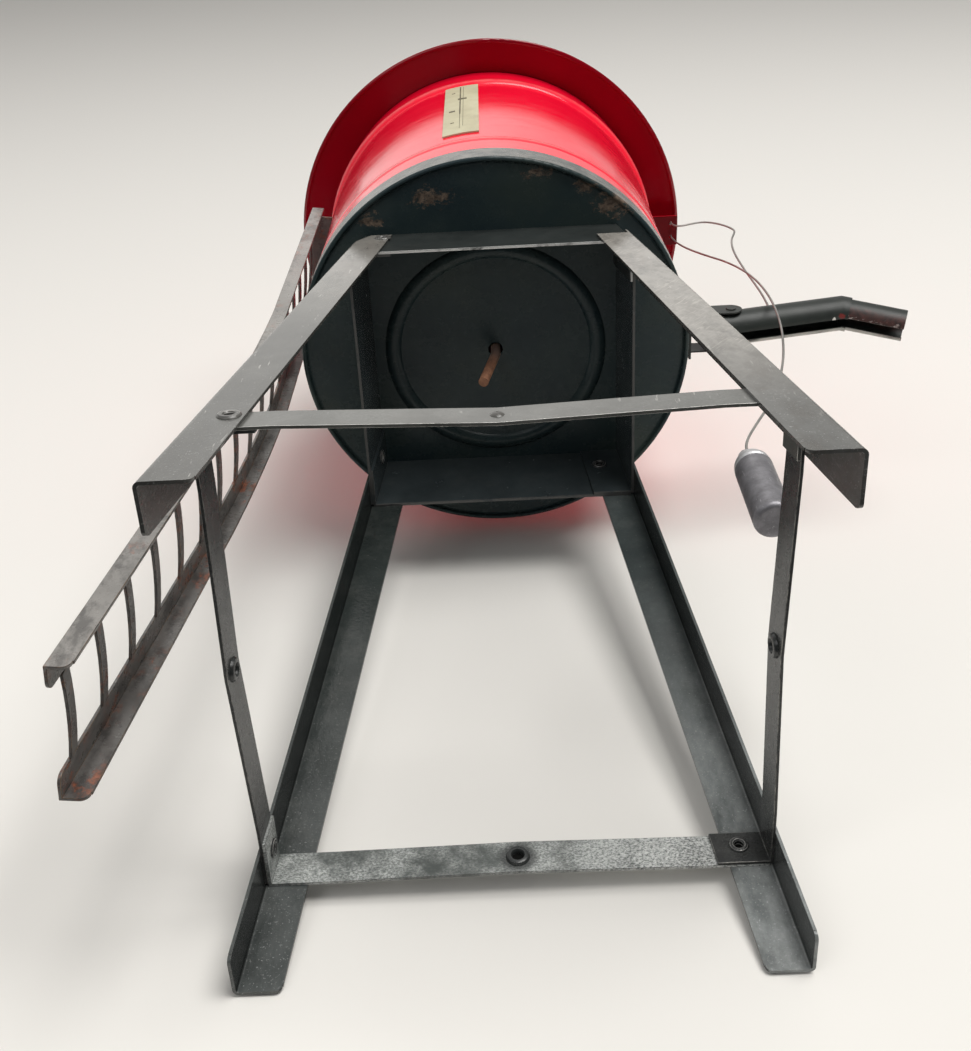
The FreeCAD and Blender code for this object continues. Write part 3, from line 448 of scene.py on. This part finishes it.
LADDER_EDGE = worn_edge("ladder_edge", (0.24, 0.17, 0.12))
PAN = pan_paint()
RUST = rust_metal()
SPOUT = spout_paint("spout_black", False)
NOZZLE = spout_paint("nozzle_black", True)
LEAD = lead_metal("lead_dull", False)
NECK = lead_metal("lead_scraped", True)
WIRE = wire_metal()
CREAM = gauge_cream()
INK = ink()


def dress(node, mat, edge=None, bevel_mm=0.0, segments=2, angle=32):
    """Material on a CAD node, with its sheet edges eased and worn."""
    o = NODES[node]
    o.data.materials.clear()
    o.data.materials.append(mat)
    if bevel_mm:
        w = o.modifiers.new("weld", "WELD")
        w.merge_threshold = 2e-6
        f = o.modifiers.new("flat", "DECIMATE")
        f.decimate_type = "DISSOLVE"
        f.angle_limit = math.radians(0.6)
        b = o.modifiers.new("bevel", "BEVEL")
        b.width = bevel_mm * MM
        b.segments = segments
        b.limit_method = "ANGLE"
        b.angle_limit = math.radians(angle)
        b.use_clamp_overlap = True
        b.harden_normals = False
        if edge is not None:
            o.data.materials.append(edge)
            b.material = 1
        n = o.modifiers.new("normals", "WEIGHTED_NORMAL")
        n.mode = "FACE_AREA"
        n.weight = 60
        n.keep_sharp = False


LEAN = (51.0 - 33.0) / 163.0
TURN = {"front_left": 0, "front_right": 1, "back_right": 2, "back_left": 3, "front": 0, "right": 1, "back": 2, "left": 3}
KINK = {"right": 0.9, "back": 0.6, "left": -1.0}


def rivet_paint(name):
    """Paint of one hollow-ended rivet, with painted shade: near-black inside its bore."""
    kind, where = name.split("_rivet_")
    lean = math.atan(LEAN)
    if kind == "brace":
        z, bore = 27.2, 0.85
        c = Vector((-(51.0 - LEAN * z) + 6.0, -(51.0 - LEAN * z), z))
    elif kind == "collar":
        z, bore = 159.0, 0.85
        c = Vector((-(51.0 - LEAN * z) + 7.0, -(51.0 - LEAN * z), z))
    else:
        z, bore = 26.5, 1.05
        c = Vector((0.0, -(51.0 - LEAN * z) + 0.6 + KINK[where], z))
    turn = Matrix.Rotation(math.pi / 2 * TURN[where], 3, "Z")
    axis = turn @ Vector((0.0, -math.cos(lean), math.sin(lean)))
    base = (0.060, 0.058, 0.054) if where == "front_left" else (0.020, 0.022, 0.022)
    return black_enamel("rivet_" + name, base, 0.6, (0.20, 0.34), hollow=(tuple(turn @ c), tuple(axis), bore))


for name in NODES:
    if name in ("tank_shell",):
        dress(name, RED)
    elif name == "wire_guide":
        dress(name, GUIDE_RED_SHADED)
    elif name in ("roof", "roof_finial"):
        dress(name, ROOF_RED)
    elif name == "tank_bottom":
        dress(name, PAN)
    elif name == "tie_rod":
        dress(name, RUST)
    elif name == "gauge_plate":
        dress(name, CREAM)
    elif name == "brace_strap_back":
        dress(name, STRAP_BACK, EDGE_DARK, 0.20)
    elif name == "brace_strap_front":
        dress(name, STRAP_FRONT, EDGE_LOWER, 0.24)
    elif name.startswith("brace_strap"):
        dress(name, STRAP_SIDE, EDGE, 0.12)
    elif name == "collar_strip_front":
        dress(name, COLLAR_FRONT, EDGE_DIM, 0.08)
    elif name == "leg_front_right":
        dress(name, LEG_FRONT_RIGHT, EDGE, 0.12)
    elif name.startswith("leg_front"):
        dress(name, LEG_FRONT, EDGE, 0.12)
    elif name == "leg_back_right":
        dress(name, LEG_RIGHT, EDGE, 0.12)
    elif name.startswith("leg_"):
        dress(name, BLACK, EDGE, 0.12)
    elif name.startswith("collar_strip"):
        dress(name, COLLAR, EDGE_DIM, 0.08)
    elif name == "ladder_rail_front":
        dress(name, LADDER_FRONT, LADDER_EDGE, 0.10)
    elif name.startswith("ladder"):
        dress(name, LADDER, LADDER_EDGE, 0.10)
    elif name == "strap_rivet_front":
        dress(name, RIVET_GREY, GLINT, 0.10)
    elif "rivet" in name:
        dress(name, rivet_paint(name), EDGE_DIM if name == "strap_rivet_right" else RIVET_EDGE, 0.07)
    elif name == "spout_nozzle":
        dress(name, NOZZLE, EDGE, 0.08)
    elif name == "spout_pipe":
        dress(name, SPOUT, EDGE, 0.08)
    elif name.startswith("spout"):
        dress(name, SPOUT, EDGE_DIM, 0.06)
    elif name == "counterweight":
        dress(name, LEAD)
    elif name == "counterweight_cap":
        dress(name, NECK)
    else:
        dress(name, WIRE)


# ----------------------------------------------------------------- mesh makers
def mesh_object(name, verts, faces, mat, body, smooth=False):
    me = bpy.data.meshes.new(name)
    me.from_pydata([tuple(v) for v in verts], [], faces)
    me.validate()
    me.update()
    for p in me.polygons:
        p.use_smooth = smooth
    me.materials.append(mat)
    o = bpy.data.objects.new(name, me)
    bpy.context.scene.collection.objects.link(o)
    if body:
        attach(o, body)
    return o


def wall_patch(verts, faces, az0, az1, z0, z1, r0, r1, n):
    """Closed thin patch that follows the round wall; angles in degrees, lengths in mm."""
    base = len(verts)
    for i in range(n + 1):
        a = math.radians(az0 + (az1 - az0) * i / n)
        c, s = math.cos(a), math.sin(a)
        for r, z in ((r0, z0), (r1, z0), (r1, z1), (r0, z1)):
            verts.append(Vector((r * c, r * s, z)) * MM)
    for i in range(n):
        a, b = base + 4 * i, base + 4 * (i + 1)
        for k in range(4):
            m = (k + 1) % 4
            faces.append((a + k, b + k, b + m, a + m))
    faces.append((base + 3, base + 2, base + 1, base))
    e = base + 4 * n
    faces.append((e, e + 1, e + 2, e + 3))


# marks on the level gauge: a double column line and plain level ticks
gv, gf = [], []
R0, R1 = 50.44, 50.50
mid = -97.75
wall_patch(gv, gf, mid - 0.34, mid + 0.06, 214.0, 247.5, R0, R1, 2)
wall_patch(gv, gf, mid + 0.80, mid + 0.92, 200.0, 247.5, R0, R1, 2)
wall_patch(gv, gf, mid - 0.22, mid - 0.08, 198.0, 214.0, R0, R1, 2)
wall_patch(gv, gf, mid - 0.9, mid + 2.0, 231.4, 232.9, R0, R1 + 0.03, 5)
wall_patch(gv, gf, mid - 3.6, mid - 1.7, 217.6, 219.0, R0, R1, 4)
for z in (204.5, 240.4):
    wall_patch(gv, gf, mid - 3.0, mid - 1.9, z, z + 0.7, R0, R1, 3)
mesh_object("gauge_marks", gv, gf, INK, "tower")


def smooth_line(points):
    """Points in mm along a NURBS spline that has the route's points as its control points."""
    cu = bpy.data.curves.new("route", "CURVE")
    cu.dimensions = "3D"
    cu.resolution_u = 10
    sp = cu.splines.new("NURBS")
    sp.points.add(len(points) - 1)
    for q, p in zip(sp.points, points):
        q.co = (p[0], p[1], p[2], 1.0)
    sp.order_u = 3
    sp.use_endpoint_u = True
    ob = bpy.data.objects.new("route", cu)
    me = bpy.data.meshes.new_from_object(ob)
    line = [v.co.copy() for v in me.vertices]
    bpy.data.objects.remove(ob)
    bpy.data.curves.remove(cu)
    bpy.data.meshes.remove(me)
    return line


def wire_tube(name, line, radius, mat, sides=10):
    """Round closed tube along a dense line in mm."""
    verts, faces = [], []
    up = Vector((0, 0, 1))
    t0 = (line[1] - line[0]).normalized()
    n = up.cross(t0)
    if n.length < 1e-3:
        n = Vector((1, 0, 0)).cross(t0)
    n.normalize()
    count = len(line)
    for i, p in enumerate(line):
        t = (line[min(i + 1, count - 1)] - line[max(i - 1, 0)]).normalized()
        n = (n - t * n.dot(t)).normalized()
        b = t.cross(n)
        for k in range(sides):
            a = 2 * math.pi * k / sides
            verts.append((p + (n * math.cos(a) + b * math.sin(a)) * radius) * MM)
    for i in range(count - 1):
        for k in range(sides):
            m = (k + 1) % sides
            faces.append((i * sides + k, i * sides + m, (i + 1) * sides + m, (i + 1) * sides + k))
    faces.append(tuple(reversed(range(sides))))
    faces.append(tuple((count - 1) * sides + k for k in range(sides)))
    return mesh_object(name, verts, faces, mat, None, True)


# ---------------------------------------------------------------- balance wire
WIRE_SPOUT = [
    (57.8, -2.2, 259.5), (57.8, -2.2, 257.2), (58.6, -2.3, 255.0), (60.8, -2.5, 254.2), (63.6, -2.7, 255.2),
    (67.2, -2.9, 256.0), (70.6, -3.0, 254.3), (73.6, -3.1, 250.6), (75.3, -3.1, 247.0), (75.7, -3.1, 244.6),
    (74.9, -3.0, 241.6), (73.2, -2.9, 236.4), (72.2, -2.7, 226.5), (72.9, -2.3, 211.0), (74.2, -1.8, 197.5),
    (74.6, -1.6, 189.4), (74.473, -1.7, 185.178), (74.473, -1.7, 181.678), (74.473, 1.5, 181.678),
]
WIRE_WEIGHT = [
    (57.8, -2.2, 259.5), (57.8, -2.2, 260.7), (57.8, -0.9, 262.0), (57.8, 0.9, 262.0), (57.8, 2.2, 260.7),
    (57.8, 2.2, 257.4), (58.5, 2.0, 252.0), (60.6, 1.3, 243.4), (64.6, -0.4, 231.0), (69.2, -3.6, 214.0),
    (72.4, -6.2, 194.0), (73.4, -7.2, 174.0), (72.0, -7.3, 152.0), (67.4, -7.2, 128.0), (60.6, -7.1, 109.0),
    (54.6, -7.0, 97.0), (51.9, -7.0, 90.4), (51.5, -7.0, 86.0), (51.5, -7.0, 80.2),
]


line_a = smooth_line(WIRE_SPOUT)
wire_a = wire_tube("balance_wire_spout_run", line_a, 0.3, WIRE)
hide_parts("wire_to_spout")
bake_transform(wire_a)
line_b = smooth_line(WIRE_WEIGHT)
wire_b = wire_tube("balance_wire_weight_run", line_b, 0.3, WIRE)
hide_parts("wire_to_weight")
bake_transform(wire_b)


# ----------------------------------------------------------------------- stage
def one_sided(name, colour, rough):
    """Pale surface that shows only from its front, so other views see past its back."""
    m = bpy.data.materials.new(name)
    m.use_nodes = True
    t = m.node_tree
    t.nodes.clear()
    out = t.nodes.new("ShaderNodeOutputMaterial")
    mixer = t.nodes.new("ShaderNodeMixShader")
    d = t.nodes.new("ShaderNodeBsdfDiffuse")
    d.inputs["Color"].default_value = (*colour, 1.0)
    d.inputs["Roughness"].default_value = rough
    c = t.nodes.new("ShaderNodeBsdfTransparent")
    g = t.nodes.new("ShaderNodeNewGeometry")
    t.links.new(g.outputs["Backfacing"], mixer.inputs[0])
    t.links.new(d.outputs[0], mixer.inputs[1])
    t.links.new(c.outputs[0], mixer.inputs[2])
    t.links.new(mixer.outputs[0], out.inputs["Surface"])
    return m


def sheet(name, corners, mat):
    me = bpy.data.meshes.new(name)
    me.from_pydata(corners, [], [(0, 1, 2, 3)])
    me.update()
    me.materials.append(mat)
    o = bpy.data.objects.new(name, me)
    bpy.context.scene.collection.objects.link(o)
    return o


PALE = (0.80, 0.785, 0.755)
floor = sheet("floor", [(-2.5, -2.5, -0.0004), (2.5, -2.5, -0.0004), (2.5, 2.5, -0.0004), (-2.5, 2.5, -0.0004)],
              one_sided("floor_pale", (0.94, 0.925, 0.895), 0.6))
for flag in ("visible_diffuse", "visible_glossy", "visible_transmission", "visible_shadow"):
    setattr(floor, flag, False)


def back_y(z):
    return 0.0516 + (0.0612 - 0.0516) * z / 0.264


zl, zh = -0.06, 2.6
backdrop = sheet("backdrop", [(-2.5, back_y(zl), zl), (2.5, back_y(zl), zl), (2.5, back_y(zh), zh), (-2.5, back_y(zh), zh)],
                 one_sided("backdrop_pale", PALE, 0.6))
backdrop.visible_shadow = False

# ----------------------------------------------------------------------- light
world = bpy.data.worlds.new("studio")
bpy.context.scene.world = world
world.use_nodes = True
wt = world.node_tree
wt.nodes.clear()
w_out = wt.nodes.new("ShaderNodeOutputWorld")
w_mix = wt.nodes.new("ShaderNodeMixShader")
w_path = wt.nodes.new("ShaderNodeLightPath")
w_seen = wt.nodes.new("ShaderNodeBackground")
w_seen.inputs["Color"].default_value = (0.80, 0.785, 0.755, 1.0)
w_seen.inputs["Strength"].default_value = 1.0
w_light = wt.nodes.new("ShaderNodeBackground")
w_gloss = wt.nodes.new("ShaderNodeBackground")
w_pick = wt.nodes.new("ShaderNodeMixShader")
w_tc = wt.nodes.new("ShaderNodeTexCoord")
w_sep = wt.nodes.new("ShaderNodeSeparateXYZ")
wt.links.new(w_tc.outputs["Generated"], w_sep.inputs[0])


def sky(target, axis, low, high, stops):
    """Sky colour that changes along one axis of the room."""
    m = wt.nodes.new("ShaderNodeMapRange")
    m.inputs["From Min"].default_value = low
    m.inputs["From Max"].default_value = high
    r = wt.nodes.new("ShaderNodeValToRGB")
    el = r.color_ramp.elements
    while len(el) < len(stops):
        el.new(0.5)
    for e, (pos, c) in zip(el, stops):
        e.position, e.color = pos, (*c, 1.0)
    wt.links.new(w_sep.outputs[axis], m.inputs["Value"])
    wt.links.new(m.outputs["Result"], r.inputs["Fac"])
    wt.links.new(r.outputs["Color"], target.inputs["Color"])


# soft surround: dim from below, bright above; the reflected surround has more contrast
sky(w_light, "Z", -1.0, 1.0, [(0.15, (0.06, 0.06, 0.063)), (0.55, (0.38, 0.375, 0.365)), (0.9, (0.62, 0.61, 0.59))])
w_light.inputs["Strength"].default_value = 1.0
sky(w_gloss, "Z", -1.0, 1.0, [(0.20, (0.05, 0.055, 0.058)), (0.55, (0.30, 0.31, 0.31)), (0.82, (0.85, 0.84, 0.81)), (0.96, (1.0, 0.985, 0.95))])
w_gloss.inputs["Strength"].default_value = 1.16
w_fade = wt.nodes.new("ShaderNodeMapRange")
w_fade.inputs["From Min"].default_value = 0.02
w_fade.inputs["From Max"].default_value = 0.38
w_fade.inputs["To Min"].default_value = 1.16
w_fade.inputs["To Max"].default_value = 0.30
wt.links.new(w_sep.outputs["X"], w_fade.inputs["Value"])
wt.links.new(w_fade.outputs["Result"], w_gloss.inputs["Strength"])
wt.links.new(w_path.outputs["Is Glossy Ray"], w_pick.inputs[0])
wt.links.new(w_light.outputs[0], w_pick.inputs[1])
wt.links.new(w_gloss.outputs[0], w_pick.inputs[2])
wt.links.new(w_path.outputs["Is Camera Ray"], w_mix.inputs[0])
wt.links.new(w_pick.outputs[0], w_mix.inputs[1])
wt.links.new(w_seen.outputs[0], w_mix.inputs[2])
wt.links.new(w_mix.outputs[0], w_out.inputs["Surface"])


def area(name, place, target, size, power, colour=(1, 1, 1)):
    d = bpy.data.lights.new(name, "AREA")
    d.shape = "DISK"
    d.size = size
    d.energy = power
    d.color = colour
    o = bpy.data.objects.new(name, d)
    bpy.context.scene.collection.objects.link(o)
    way = Vector(target) - Vector(place)
    o.rotation_euler = way.to_track_quat("-Z", "Y").to_euler()
    o.location = place
    return o


key = area("key", (0.40, -1.15, 0.02), (0, 0, 0.08), 0.9, 15.8, (1.0, 0.985, 0.96))
area("fill", (-0.50, -0.85, -0.55), (0, 0, 0.12), 0.7, 2.0)

# the low key light does not burn a spot into the floor beside it
unlit = bpy.data.collections.new("floor_only")
unlit.objects.link(floor)
key.light_linking.receiver_collection = unlit
unlit.collection_objects[0].light_linking.link_state = "EXCLUDE"

# ---------------------------------------------------------------------- camera
cam = bpy.data.cameras.new("camera")
cam.sensor_fit = "AUTO"
cam.sensor_width = 36.0
cam.lens = 1361.5 / 1051.0 * 36.0
cam.clip_start = 0.01
camera = bpy.data.objects.new("camera", cam)
bpy.context.scene.collection.objects.link(camera)
right = Vector((0.998846, 0.047072, -0.009521))
down = Vector((-0.045602, 0.867440, -0.495448))
ahead = Vector((-0.015063, 0.495311, 0.868585))
eye = Vector((0.000612, -0.136823, -0.167137))
camera.matrix_world = Matrix((
    (right.x, -down.x, -ahead.x, eye.x),
    (right.y, -down.y, -ahead.y, eye.y),
    (right.z, -down.z, -ahead.z, eye.z),
    (0, 0, 0, 1),
))
bpy.context.scene.camera = camera
bpy.context.scene.view_settings.view_transform = "Standard"
